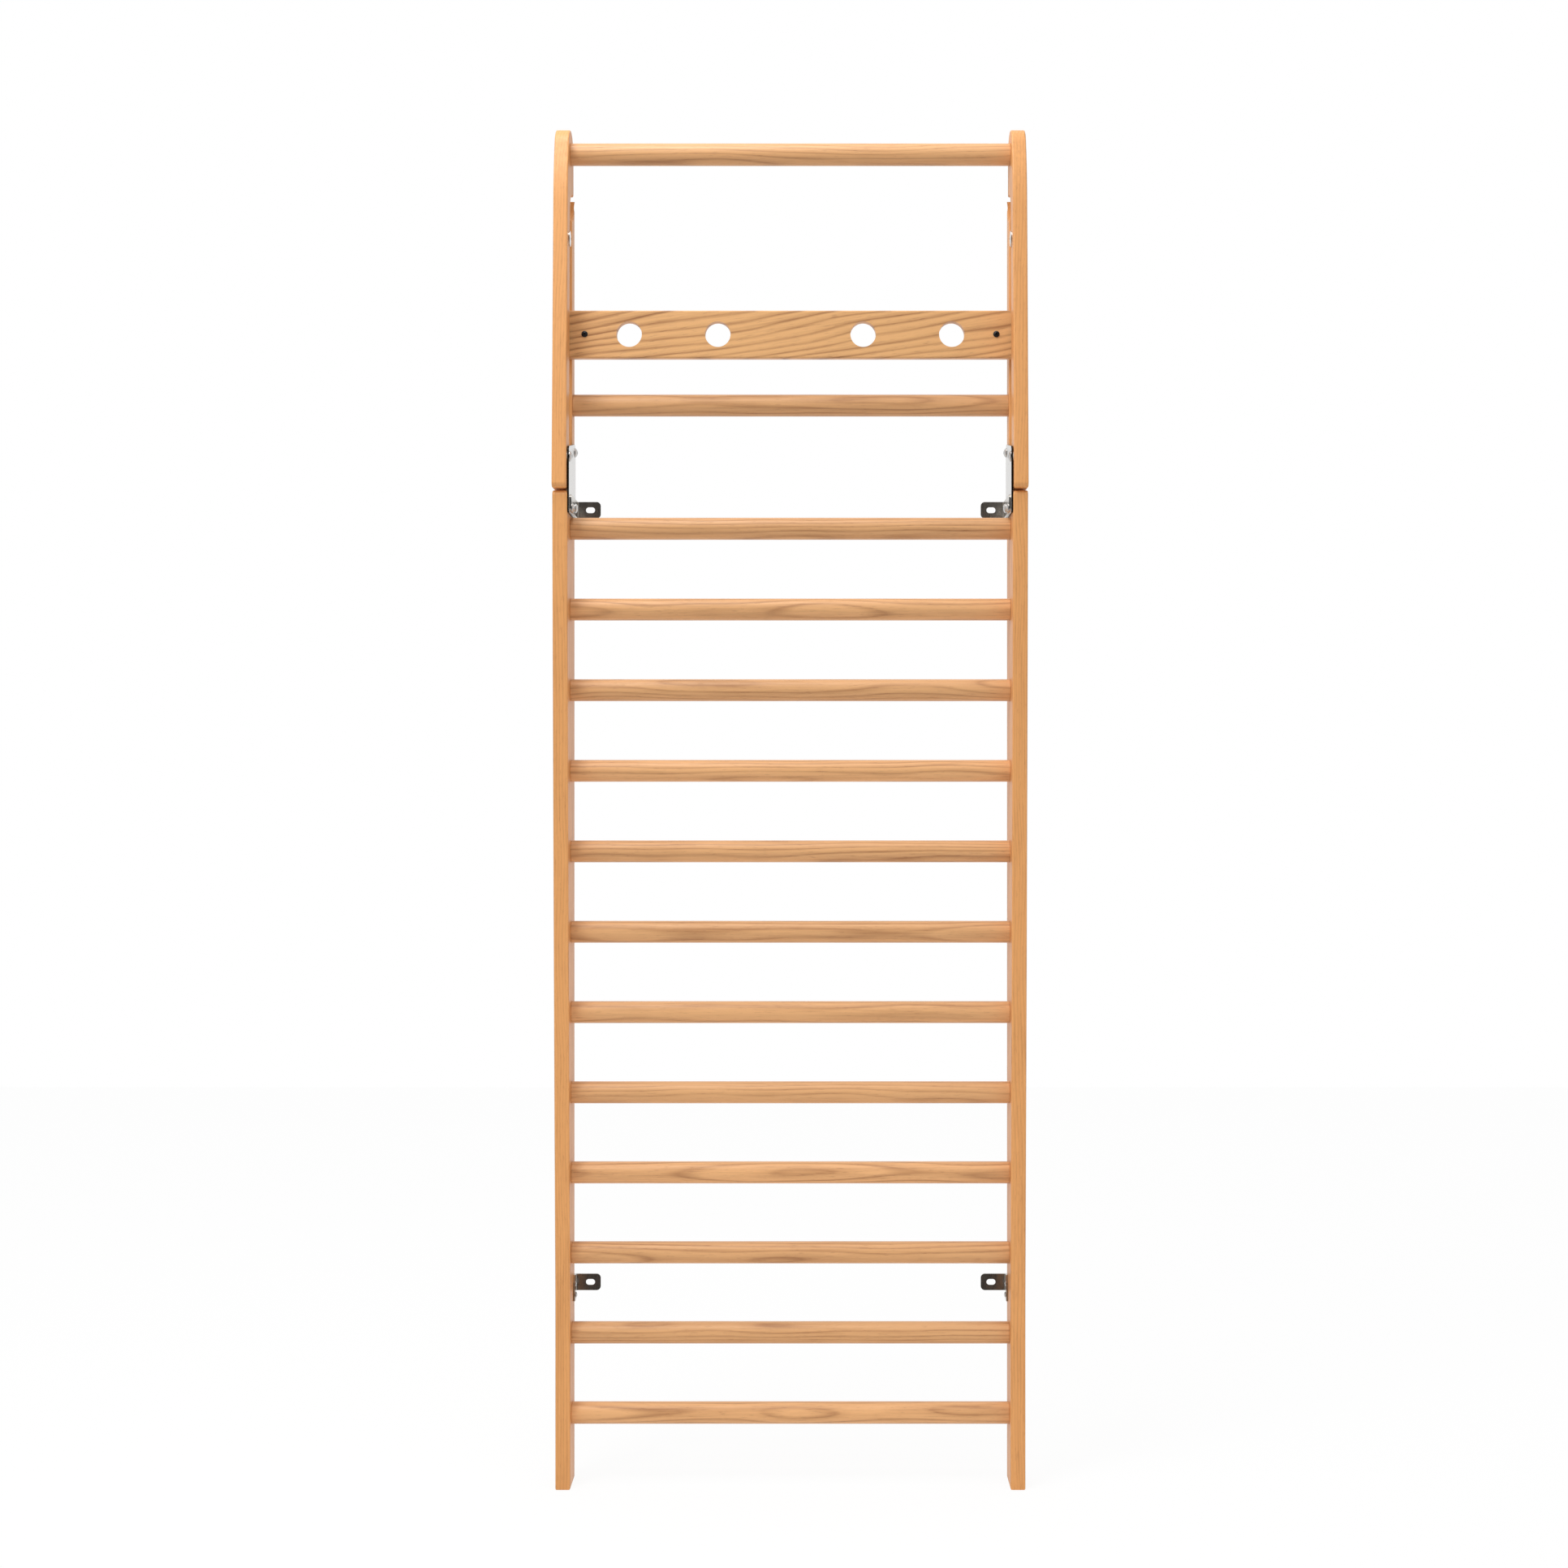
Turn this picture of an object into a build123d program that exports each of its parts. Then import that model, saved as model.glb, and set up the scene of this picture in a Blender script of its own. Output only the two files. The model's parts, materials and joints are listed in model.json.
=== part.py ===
"""Wooden wall bars with a pull-up frame that swings out on two steel hinge plates.

Frame of the part: X runs across the wall to the right, Y runs into the wall, Z is up.
The wall is the plane Y = 0 and the origin is the centre of the four wall slots.
Sizes are in millimetres. A height is measured from the floor and a depth from the wall.
"""

from build123d import *
import math
import os

os.makedirs("parts", exist_ok=True)

# Overall
overall_width = 790.0
board_thickness = 25.0
arris = 2.5  # easing of the long wooden edges

# Rungs
rung_count = 12
rung_diameter = 37.0
rung_pitch = 136.0
first_rung_height = 120.0
tenon_diameter = 25.0
tenon_length = 18.0
glue_gap = 0.05  # radial room of a tenon, dowel or bolt in its hole

# Lower side boards
shoulder_margin = 58.0  # from the axis of the highest rung to the top of the board
foot_depth = 74.0
foot_height = 320.0
shoulder_depth = 122.0
front_bow = 3.5
foot_ease = 1500.0  # radius of the soft bend where the foot ends
shoulder_round = 8.0

# Rear posts
post_length = 508.0
post_depth = 42.0
post_rung_rise = 156.0
dowel_diameter = 10.0
dowel_length = 60.0
dowel_spread = 18.0

# Cross board
cross_board_rise = 270.0
cross_board_height = 80.0
cross_board_thickness = 19.0
cross_hole_diameter = 43.0
cross_hole_offsets = (122.5, 272.0)
board_bolt_inset = 23.0
board_bolt_diameter = 6.0
board_bolt_head = 10.5
board_bolt_head_height = 3.3
board_bolt_tip = 3.0  # how far the bolt stands out of its nut
board_nut_flats = 10.0
board_nut_height = 5.0
board_bracket_height = 40.0
board_bracket_back = 8.0  # depth at which the leg on the post starts
board_bracket_edge = 10.0  # from the bolt to the free end of the lip
buffer_diameter = 16.0
buffer_gap = 0.3

# Swinging blades
blade_depth = 50.0
blade_proud = 11.0  # how far the blade stands in front of the side board
tail_gap = 3.0
tail_round = 9.0
tail_rear_round = 6.0
bar_depth = 47.0
bar_rise = 576.0
head_radius = 40.0
nose_lean = 17.0  # degrees
nose_drop = 48.0  # from the bar's axis down to the bend of the front edge
nose_round = 330.0
wrap_gap = 22.0  # room between the front of the rear post and the blade
wrap_rise = 5.0  # room between the top of the rear post and the blade that passes over it
wrap_round = 44.0
chin_round = 4.0
opening_angle = 25.0  # degrees

# Hinge
plate_thickness = 3.0
plate_back_depth = 12.0
plate_drop = 37.0
plate_front_inset = 1.0
plate_corner = 12.0
small_corner = 2.0
steel_ease = 0.4  # rounding of the cut edges of plates and brackets
bend_radius = 2.0  # inside the bend of a bracket
pivot_inset = 10.0  # from the front of the side board back to the pivot
pivot_rise = 57.0
pivot_diameter = 10.0
pivot_head_diameter = 18.0
pivot_nut_flats = 17.0
pivot_nut_height = 6.5
pivot_pocket_diameter = 24.0
pivot_pocket_depth = 9.5
pivot_clearance = 0.05
bush_wall = 2.0
bush_flange = 1.5
bush_flange_room = 1.0
washer_thickness = 0.8
side_play = 0.1
stop_drop = 22.0  # from the pivot down to the stop pin's point of contact, along the blade's rear edge
stop_pin_diameter = 9.0
stop_spigot = 6.0
stop_sleeve_wall = 2.5
stop_clearance = 0.3

# Bolts
bolt_diameter = 8.0
bolt_head_diameter = 16.0
bolt_head_height = 5.0
head_rim = 1.0  # straight rim under a domed head
nut_flats = 13.0
nut_height = 6.5
nut_pocket_diameter = 18.0
nut_pocket_depth = 7.5
rear_bolt_inset = 18.0  # from the front of the rear post
rear_bolt_rise = 75.0
lower_bolts = ((20.0, 28.0), (76.0, 22.0))  # inset from the front, and drop below the top, of the side board

# Wall brackets
bracket_thickness = 3.0
tab_reach = 45.0  # from the inner face of the board to the free end of the tab
tab_height = 28.0
tab_corner = 7.0
slot_inset = 27.5  # from the inner face of the board to the centre of the slot
slot_length = 15.5
slot_width = 10.0
upper_slot_drop = 20.0
upper_leg_inset = 10.0  # from the front of the side board
lower_slot_offset = 10.0  # above the middle of the gap between the second and third rungs
lower_leg_depth = 24.0
lower_leg_drop = 15.0
lower_slant = 12.0
bracket_screw_insets = (9.0, 11.0)
screw_diameter = 5.0
screw_length = 20.0
screw_head_diameter = 9.5
screw_head_height = 3.0

# Anchor discs
disc_diameter = 26.0
disc_thickness = 3.0
disc_margin = 0.25  # from the rear edge of the blade
disc_rise = 426.0
disc_spigot = 8.0
disc_spigot_length = 14.0
disc_ease = 0.8

# Places that follow from the sizes
inner_x = overall_width / 2 - board_thickness
outer_x = overall_width / 2
board_height = first_rung_height + (rung_count - 1) * rung_pitch + shoulder_margin
post_top = board_height + post_length
upper_slot_height = board_height - upper_slot_drop
lower_slot_height = first_rung_height + 1.5 * rung_pitch + lower_slot_offset
datum_height = (upper_slot_height + lower_slot_height) / 2
pivot_depth = shoulder_depth - pivot_inset
pivot_height = board_height + pivot_rise
blade_inner_x = inner_x + washer_thickness + side_play
blade_thickness = outer_x - blade_inner_x
tail_front = shoulder_depth + blade_proud
tail_rear = tail_front - blade_depth
tail_height = board_height + tail_gap
bar_height = board_height + bar_rise
plate_inner_x = inner_x - plate_thickness
bush_outer = pivot_diameter + 2 * pivot_clearance + 2 * bush_wall
cross_board_front = post_depth + cross_board_thickness
cross_board_axis = board_height + cross_board_rise
wrap_corner = (post_depth + wrap_gap, post_top + wrap_rise)
bracket_hole = screw_diameter / 2 + glue_gap
board_bracket_lip = board_bolt_inset + board_bracket_edge


def at(depth, height):
    """Point of a side view, in the Y and Z of the part, from its depth and its height."""
    return (-depth, height - datum_height)


def face_at(x):
    """Side-view plane at x, with Y across it and Z up it."""
    return Plane.YZ.offset(x)


def board_depth(height):
    """Depth of a lower side board at a height: straight foot, then a lean with a shallow bow."""
    share = max(0.0, (height - foot_height) / (board_height - foot_height))
    return foot_depth + (shoulder_depth - foot_depth) * share + 4 * front_bow * share * (1 - share)


def blade_rear(height):
    """Depth of a blade's straight rear edge at a height."""
    share = (height - tail_height) / (wrap_corner[1] - tail_height)
    return tail_rear + (wrap_corner[0] - tail_rear) * share


def rims(piece, axis):
    """Outer edges of a plate's two flat faces that look along an axis."""
    faces = piece.faces().filter_by(axis).sort_by(SortBy.AREA)[-2:]
    return [edge for face in faces for edge in face.outer_wire().edges()]


def bend_edge(piece, x, depth):
    """Upright edge of a bracket nearest to a corner of its plan."""

    def away(edge):
        return math.hypot(edge.center().X - x, edge.center().Y + depth)

    return piece.edges().filter_by(Axis.Z).sort_by(away)[0]


def save(piece, name):
    """Label a finished piece and write it to its own file."""
    piece.label = name
    export_step(piece, f"parts/{name}.step")


def save_pair(right, name):
    """Write a right-hand piece and its mirror image for the left side."""
    with BuildPart() as left:
        mirror(right, about=Plane.YZ)
    save(right, f"right_{name}")
    save(left.part, f"left_{name}")


# Side boards, with a blind hole for each rung's tenon
plate_bolt_places = [at(shoulder_depth - inset, board_height - drop) for inset, drop in lower_bolts]
rear_bolt_place = at(post_depth - rear_bolt_inset, board_height + rear_bolt_rise)
rung_heights = [first_rung_height + number * rung_pitch for number in range(rung_count)]
rung_places = [at(board_depth(height) / 2, height) for height in rung_heights]
dowel_depths = (post_depth / 2 - dowel_spread / 2, post_depth / 2 + dowel_spread / 2)
bow_height = (foot_height + board_height) / 2
lower_leg_top = lower_slot_height + tab_height / 2
lower_leg_foot = lower_slot_height - tab_height / 2 - lower_leg_drop
bracket_screw_places = [
    at(lower_leg_depth - bracket_screw_insets[0], lower_slot_height),
    at(lower_leg_depth - bracket_screw_insets[1], lower_leg_foot + screw_head_diameter),
]

with BuildPart() as side_board:
    with BuildSketch(face_at(inner_x)) as board_outline:
        with BuildLine():
            foot = Polyline(at(0, board_height), at(0, 0), at(foot_depth, 0), at(foot_depth, foot_height))
            lean = ThreePointArc(
                foot @ 1,
                at(board_depth(bow_height), bow_height),
                at(shoulder_depth, board_height),
            )
            Line(lean @ 1, foot @ 0)
        make_face()
        bend = board_outline.vertices().sort_by_distance(at(foot_depth, foot_height))[0]
        fillet(bend, foot_ease)
        shoulder = board_outline.vertices().sort_by_distance(at(shoulder_depth, board_height))[0]
        fillet(shoulder, shoulder_round)
    extrude(amount=board_thickness)
    long_edges = side_board.faces().filter_by(Axis.X).edges()
    fillet(long_edges, arris)
    with BuildSketch(face_at(inner_x)):
        with Locations(*rung_places):
            Circle(tenon_diameter / 2 + glue_gap)
    extrude(amount=tenon_length + glue_gap, mode=Mode.SUBTRACT)
    with BuildSketch(face_at(inner_x)):
        with Locations(*plate_bolt_places):
            Circle(bolt_diameter / 2 + glue_gap)
    extrude(amount=board_thickness, mode=Mode.SUBTRACT)
    with BuildSketch(face_at(outer_x)):
        with Locations(*plate_bolt_places):
            Circle(nut_pocket_diameter / 2)
    extrude(amount=-nut_pocket_depth, mode=Mode.SUBTRACT)
    with BuildSketch(face_at(inner_x)):
        with Locations(*bracket_screw_places):
            Circle(screw_diameter / 2 + glue_gap)
    extrude(amount=screw_length, mode=Mode.SUBTRACT)
    with BuildSketch(Plane.XY.offset(board_height - datum_height)):
        with Locations(*[(inner_x + board_thickness / 2, -depth) for depth in dowel_depths]):
            Circle(dowel_diameter / 2 + glue_gap)
    extrude(amount=-dowel_length / 2, mode=Mode.SUBTRACT)
save_pair(side_board.part, "side_board")

# Rear posts, standing on the side boards
post_rung_place = at(post_depth / 2, board_height + post_rung_rise)
screw_step = board_bracket_height / 4
board_bracket_screw_places = [
    at(post_depth / 2, cross_board_axis - screw_step),
    at(post_depth / 2, cross_board_axis + screw_step),
]

with BuildPart() as rear_post:
    with BuildSketch(face_at(inner_x)) as post_outline:
        with BuildLine():
            heel = Line(at(0, post_top), at(0, board_height))
            base = Line(heel @ 1, at(post_depth, board_height))
            front = Line(base @ 1, at(post_depth, post_top - post_depth))
            RadiusArc(front @ 1, heel @ 0, -post_depth)
        make_face()
    extrude(amount=board_thickness)
    fillet(rear_post.faces().filter_by(Axis.X).edges(), arris)
    with BuildSketch(face_at(inner_x)):
        with Locations(post_rung_place):
            Circle(tenon_diameter / 2 + glue_gap)
    extrude(amount=tenon_length + glue_gap, mode=Mode.SUBTRACT)
    with BuildSketch(face_at(inner_x)):
        with Locations(rear_bolt_place):
            Circle(bolt_diameter / 2 + glue_gap)
    extrude(amount=board_thickness, mode=Mode.SUBTRACT)
    with BuildSketch(face_at(outer_x)):
        with Locations(rear_bolt_place):
            Circle(nut_pocket_diameter / 2)
    extrude(amount=-nut_pocket_depth, mode=Mode.SUBTRACT)
    with BuildSketch(face_at(inner_x)):
        with Locations(*board_bracket_screw_places):
            Circle(screw_diameter / 2 + glue_gap)
    extrude(amount=screw_length, mode=Mode.SUBTRACT)
    with BuildSketch(Plane.XY.offset(board_height - datum_height)):
        with Locations(*[(inner_x + board_thickness / 2, -depth) for depth in dowel_depths]):
            Circle(dowel_diameter / 2 + glue_gap)
    extrude(amount=dowel_length / 2, mode=Mode.SUBTRACT)
save_pair(rear_post.part, "rear_post")

with BuildPart() as post_dowels:
    with BuildSketch(Plane.XY.offset(board_height - dowel_length / 2 - datum_height)):
        with Locations(*[(inner_x + board_thickness / 2, -depth) for depth in dowel_depths]):
            Circle(dowel_diameter / 2)
    extrude(amount=dowel_length)
save_pair(post_dowels.part, "post_dowels")


def make_rung(place, name):
    """Round rung between the inner faces, with a tenon on each end."""
    with BuildPart() as rung:
        with BuildSketch(face_at(-inner_x)):
            with Locations(place):
                Circle(rung_diameter / 2)
        extrude(amount=2 * inner_x)
        with BuildSketch(face_at(-inner_x - tenon_length)):
            with Locations(place):
                Circle(tenon_diameter / 2)
        extrude(amount=2 * (inner_x + tenon_length))
    save(rung.part, name)


for number, rung_place in enumerate(rung_places + [post_rung_place], start=1):
    make_rung(rung_place, f"rung_{number:02d}")

# Cross board with its four holes, in front of the rear posts
board_bolt_x = inner_x - board_bolt_inset
board_bolt_places = [(side * board_bolt_x, cross_board_axis - datum_height) for side in (-1, 1)]
cross_hole_places = [
    (side * offset, cross_board_axis - datum_height) for offset in cross_hole_offsets for side in (-1, 1)
]

with BuildPart() as cross_board:
    with BuildSketch(Plane.XZ.offset(post_depth)):
        with Locations((0, cross_board_axis - datum_height)):
            Rectangle(overall_width, cross_board_height)
    extrude(amount=cross_board_thickness)
    fillet(cross_board.edges().filter_by(Axis.X), arris)
    with BuildSketch(Plane.XZ.offset(post_depth)):
        with Locations(*cross_hole_places):
            Circle(cross_hole_diameter / 2)
        with Locations(*board_bolt_places):
            Circle(board_bolt_diameter / 2 + glue_gap)
    extrude(amount=cross_board_thickness, mode=Mode.SUBTRACT)
save(cross_board.part, "cross_board")

# Angle brackets that hold the cross board to the posts, with their screws, bolts and nuts

with BuildPart() as board_bracket:
    with BuildSketch(Plane.XY.offset(cross_board_axis - board_bracket_height / 2 - datum_height)):
        with BuildLine():
            Polyline(
                (inner_x, -board_bracket_back),
                (inner_x, -post_depth),
                (inner_x - board_bracket_lip, -post_depth),
                (inner_x - board_bracket_lip, -post_depth + bracket_thickness),
                (inner_x - bracket_thickness, -post_depth + bracket_thickness),
                (inner_x - bracket_thickness, -board_bracket_back),
                close=True,
            )
        make_face()
    extrude(amount=board_bracket_height)
    fillet(bend_edge(board_bracket, inner_x, post_depth), bend_radius + bracket_thickness)
    inner_corner = (inner_x - bracket_thickness, post_depth - bracket_thickness)
    fillet(bend_edge(board_bracket, *inner_corner), bend_radius)
    with BuildSketch(face_at(inner_x)):
        with Locations(*board_bracket_screw_places):
            Circle(bracket_hole)
    extrude(amount=-bracket_thickness, mode=Mode.SUBTRACT)
    with BuildSketch(Plane.XZ.offset(post_depth)):
        with Locations(board_bolt_places[1]):
            Circle(board_bolt_diameter / 2 + glue_gap)
    extrude(amount=-bracket_thickness, mode=Mode.SUBTRACT)
save_pair(board_bracket.part, "board_bracket")

with BuildPart() as board_bolts:
    with BuildSketch(Plane.XZ.offset(cross_board_front)):
        with Locations(*board_bolt_places):
            Circle(board_bolt_head / 2)
    extrude(amount=board_bolt_head_height)
    fillet(board_bolts.faces().sort_by(Axis.Y)[:2].edges(), board_bolt_head_height - head_rim)
    with BuildSketch(Plane.XZ.offset(post_depth - bracket_thickness - board_nut_height - board_bolt_tip)):
        with Locations(*board_bolt_places):
            Circle(board_bolt_diameter / 2)
    extrude(until=Until.NEXT)
save(board_bolts.part, "board_bolts")

with BuildPart() as board_nuts:
    with BuildSketch(Plane.XZ.offset(post_depth - bracket_thickness)):
        with Locations(*board_bolt_places):
            RegularPolygon(board_nut_flats / 2, 6, major_radius=False)
            Circle(board_bolt_diameter / 2 + glue_gap, mode=Mode.SUBTRACT)
    extrude(amount=-board_nut_height)
save(board_nuts.part, "board_nuts")


def make_screws(places, seat_x, name):
    """Round-headed wood screws that go outwards into the wood, heads on the plane x = seat_x."""
    with BuildPart() as screws:
        with BuildSketch(face_at(seat_x)):
            with Locations(*places):
                Circle(screw_head_diameter / 2)
        extrude(amount=-screw_head_height)
        fillet(screws.faces().sort_by(Axis.X)[: len(places)].edges(), screw_head_height - head_rim)
        with BuildSketch(face_at(seat_x)):
            with Locations(*places):
                Circle(screw_diameter / 2)
        extrude(amount=screw_length)
    save_pair(screws.part, name)


make_screws(board_bracket_screw_places, inner_x - bracket_thickness, "board_bracket_screws")

# Rubber buffers on the cross board, which stop the closed blades
buffer_length = blade_rear(cross_board_axis + buffer_diameter / 2) - cross_board_front - buffer_gap
buffer_x = (blade_inner_x + outer_x) / 2

with BuildPart() as closing_buffer:
    with BuildSketch(Plane.XZ.offset(cross_board_front)):
        with Locations((buffer_x, cross_board_axis - datum_height)):
            Circle(buffer_diameter / 2)
    extrude(amount=buffer_length)
    fillet(closing_buffer.faces().sort_by(Axis.Y)[0].edges(), min(small_corner, buffer_length / 2))
save_pair(closing_buffer.part, "closing_buffer")

# Hinge plates across the open joint
plate_front = shoulder_depth - plate_front_inset
plate_foot = board_height - plate_drop
pivot_place = at(pivot_depth, pivot_height)
stop_contact = blade_rear(pivot_height - stop_drop)
stop_arm = math.hypot(pivot_depth - stop_contact, stop_drop)
stop_start = math.atan2(pivot_depth - stop_contact, stop_drop)
stop_swing = stop_start + math.radians(opening_angle)
rear_lean = math.atan2(tail_rear - wrap_corner[0], wrap_corner[1] - tail_height)
stop_normal = math.radians(opening_angle) - rear_lean
stop_reach = stop_pin_diameter / 2 + stop_sleeve_wall + stop_clearance
stop_depth = pivot_depth - stop_arm * math.sin(stop_swing) - stop_reach * math.cos(stop_normal)
stop_height = pivot_height - stop_arm * math.cos(stop_swing) + stop_reach * math.sin(stop_normal)
stop_place = at(stop_depth, stop_height)

with BuildPart() as hinge_plate:
    with BuildSketch(face_at(plate_inner_x)):
        with BuildLine():
            FilletPolyline(
                at(plate_back_depth, plate_foot),
                at(plate_front, plate_foot),
                at(plate_front, pivot_height + bolt_head_diameter),
                at(plate_back_depth, board_height + rear_bolt_rise + bolt_head_diameter),
                radius=[small_corner, plate_corner / 2, plate_corner, plate_corner],
                close=True,
            )
        make_face()
        with Locations(pivot_place):
            Circle(pivot_diameter / 2 + glue_gap, mode=Mode.SUBTRACT)
        with Locations(*plate_bolt_places, rear_bolt_place):
            Circle(bolt_diameter / 2 + glue_gap, mode=Mode.SUBTRACT)
        with Locations(stop_place):
            Circle(stop_spigot / 2 + glue_gap, mode=Mode.SUBTRACT)
    extrude(amount=plate_thickness)
    fillet(rims(hinge_plate, Axis.X), steel_ease)
save_pair(hinge_plate.part, "hinge_plate")

# Wall brackets: an angle with a slotted tab against the wall
leg_inner_x = plate_inner_x - bracket_thickness
upper_leg_depth = shoulder_depth - upper_leg_inset


def slotted_tab(height, root_x):
    """Tab on the wall plane with its slot, from the bracket's leg to its free end."""
    top = height + tab_height / 2 - datum_height
    with BuildSketch(Plane.XZ) as tab:
        with BuildLine():
            FilletPolyline(
                (root_x, top - tab_height),
                (root_x, top),
                (inner_x - tab_reach, top),
                (inner_x - tab_reach, top - tab_height),
                radius=[0, 0, tab_corner, tab_corner],
                close=True,
            )
        make_face()
        with Locations((inner_x - slot_inset, height - datum_height)):
            SlotOverall(slot_length, slot_width, mode=Mode.SUBTRACT)
    return tab.sketch


with BuildPart() as upper_wall_bracket:
    with BuildSketch(face_at(leg_inner_x)):
        with BuildLine():
            FilletPolyline(
                at(0, upper_slot_height - tab_height / 2),
                at(upper_leg_depth, upper_slot_height - tab_height / 2),
                at(upper_leg_depth, upper_slot_height + tab_height / 2),
                at(0, upper_slot_height + tab_height / 2),
                radius=[0, tab_corner, tab_corner, 0],
                close=True,
            )
        make_face()
        with Locations(*plate_bolt_places):
            Circle(bolt_diameter / 2 + glue_gap, mode=Mode.SUBTRACT)
    extrude(amount=bracket_thickness)
    extrude(slotted_tab(upper_slot_height, plate_inner_x), amount=bracket_thickness)
    fillet(bend_edge(upper_wall_bracket, plate_inner_x, 0), bend_radius + bracket_thickness)
    fillet(bend_edge(upper_wall_bracket, leg_inner_x, bracket_thickness), bend_radius)
save_pair(upper_wall_bracket.part, "upper_wall_bracket")


with BuildPart() as lower_wall_bracket:
    with BuildSketch(face_at(inner_x - bracket_thickness)):
        with BuildLine():
            FilletPolyline(
                at(0, lower_leg_foot),
                at(lower_leg_depth, lower_leg_foot),
                at(lower_leg_depth, lower_leg_top - lower_slant),
                at(lower_leg_depth - lower_slant, lower_leg_top),
                at(0, lower_leg_top),
                radius=[small_corner, small_corner, small_corner, small_corner, 0],
                close=True,
            )
        make_face()
        with Locations(*bracket_screw_places):
            Circle(bracket_hole, mode=Mode.SUBTRACT)
    extrude(amount=bracket_thickness)
    extrude(slotted_tab(lower_slot_height, inner_x), amount=bracket_thickness)
    fillet(bend_edge(lower_wall_bracket, inner_x - bracket_thickness, bracket_thickness), bend_radius)
save_pair(lower_wall_bracket.part, "lower_wall_bracket")
make_screws(bracket_screw_places, inner_x - bracket_thickness, "bracket_screws")


def make_bolts(places_and_seats, diameter, head_diameter, head_height, tip_x):
    """Dome-headed bolts along X: heads inwards of each seat, shanks out to tip_x."""
    with BuildPart() as bolts:
        for place, seat_x in places_and_seats:
            with BuildSketch(face_at(seat_x)):
                with Locations(place):
                    Circle(head_diameter / 2)
            head = extrude(amount=-head_height)
            fillet(head.faces().sort_by(Axis.X)[0].edges(), head_height - head_rim)
            with BuildSketch(face_at(seat_x)):
                with Locations(place):
                    Circle(diameter / 2)
            extrude(amount=tip_x - seat_x)
    return bolts.part


# Plate bolts and their nuts, sunk in the outer faces
nut_floor_x = outer_x - nut_pocket_depth
bolt_tip_x = nut_floor_x + nut_height
bolt_seats = [(place, leg_inner_x) for place in plate_bolt_places] + [(rear_bolt_place, plate_inner_x)]
save_pair(
    make_bolts(bolt_seats, bolt_diameter, bolt_head_diameter, bolt_head_height, bolt_tip_x),
    "plate_bolts",
)

with BuildPart() as plate_nuts:
    with BuildSketch(face_at(nut_floor_x)):
        with Locations(*plate_bolt_places, rear_bolt_place):
            RegularPolygon(nut_flats / 2, 6, major_radius=False)
            Circle(bolt_diameter / 2 + glue_gap, mode=Mode.SUBTRACT)
    extrude(amount=nut_height)
save_pair(plate_nuts.part, "plate_nuts")

# Pivot bolt, thrust washer, nut and bush
pivot_floor_x = outer_x - pivot_pocket_depth
bush_face_x = pivot_floor_x + bush_flange
pivot_nut_x = bush_face_x + side_play
pivot_tip_x = pivot_nut_x + pivot_nut_height

save_pair(
    make_bolts(
        [(pivot_place, plate_inner_x)], pivot_diameter, pivot_head_diameter, bolt_head_height, pivot_tip_x
    ),
    "pivot_bolt",
)

with BuildPart() as pivot_washer:
    with BuildSketch(face_at(inner_x)):
        with Locations(pivot_place):
            Circle(pivot_head_diameter / 2)
            Circle(pivot_diameter / 2 + pivot_clearance, mode=Mode.SUBTRACT)
    extrude(amount=washer_thickness)
save_pair(pivot_washer.part, "pivot_washer")

with BuildPart() as pivot_nut:
    with BuildSketch(face_at(pivot_nut_x)):
        with Locations(pivot_place):
            RegularPolygon(pivot_nut_flats / 2, 6, major_radius=False)
            Circle(pivot_diameter / 2 + glue_gap, mode=Mode.SUBTRACT)
    extrude(amount=pivot_nut_height)
save_pair(pivot_nut.part, "pivot_nut")

with BuildPart() as pivot_bush:
    with BuildSketch(face_at(blade_inner_x)):
        with Locations(pivot_place):
            Circle(bush_outer / 2)
    extrude(amount=pivot_floor_x - blade_inner_x)
    with BuildSketch(face_at(pivot_floor_x)):
        with Locations(pivot_place):
            Circle(pivot_pocket_diameter / 2 - bush_flange_room)
    extrude(amount=bush_flange)
    with BuildSketch(face_at(blade_inner_x)):
        with Locations(pivot_place):
            Circle(pivot_diameter / 2 + pivot_clearance)
    extrude(amount=bush_face_x - blade_inner_x, mode=Mode.SUBTRACT)
save_pair(pivot_bush.part, "pivot_bush")

# Stop pins with rubber sleeves, riveted into the plates
with BuildPart() as stop_pin:
    with BuildSketch(face_at(plate_inner_x)):
        with Locations(stop_place):
            Circle(stop_spigot / 2)
    extrude(amount=plate_thickness)
    with BuildSketch(face_at(inner_x)):
        with Locations(stop_place):
            Circle(stop_pin_diameter / 2)
    extrude(amount=board_thickness)
save_pair(stop_pin.part, "stop_pin")

with BuildPart() as stop_sleeve:
    with BuildSketch(face_at(blade_inner_x)):
        with Locations(stop_place):
            Circle(stop_pin_diameter / 2 + stop_sleeve_wall)
            Circle(stop_pin_diameter / 2 + glue_gap, mode=Mode.SUBTRACT)
    extrude(amount=blade_thickness)
save_pair(stop_sleeve.part, "stop_sleeve")

# Blades of the swinging frame
lean_angle = math.radians(nose_lean)
nose = at(bar_depth + head_radius * math.cos(lean_angle), bar_height + head_radius * math.sin(lean_angle))
nose_bend_depth = bar_depth + (head_radius + nose_drop * math.sin(lean_angle)) / math.cos(lean_angle)
bar_place = at(bar_depth, bar_height)
disc_height = board_height + disc_rise
disc_place = at(blade_rear(disc_height) + disc_margin + disc_diameter / 2, disc_height)

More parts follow.
